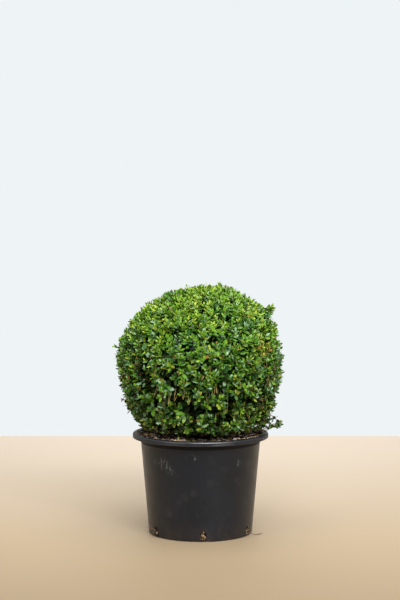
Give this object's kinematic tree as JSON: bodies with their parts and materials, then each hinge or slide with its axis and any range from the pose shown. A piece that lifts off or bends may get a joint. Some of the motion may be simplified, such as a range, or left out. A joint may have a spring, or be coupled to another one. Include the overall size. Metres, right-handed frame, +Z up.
{
  "type": "potted box topiary ball",
  "caption": "Evergreen small-leaved shrub clipped to a ball on a short branching stem, growing in a round black plastic nursery pot with a flat flanged rim.",
  "frame": {"origin": "centre of the pot's flat underside, on the surface that it stands on", "axes": "+Z up along the stem, -Y the front of the plant, +X its right-hand side seen from the front"},
  "size_m": [0.4949, 0.4872, 0.7328],
  "materials": {
    "pot_plastic": "satin",
    "compost": "matte",
    "bark": "matte",
    "foliage": "satin"
  },
  "bodies": {
    "root": {"pot": "pot_plastic", "pot_rim": "pot_plastic", "compost": "compost", "trunk": "bark", "bough_top_1": "bark", "bough_top_2": "bark", "bough_top_3": "bark", "bough_side_1": "bark", "bough_side_2": "bark", "bough_side_3": "bark", "bough_side_4": "bark", "crown": "foliage", "tuft_shoulder": "foliage", "tuft_foot": "foliage"}
  },
  "joints": []
}
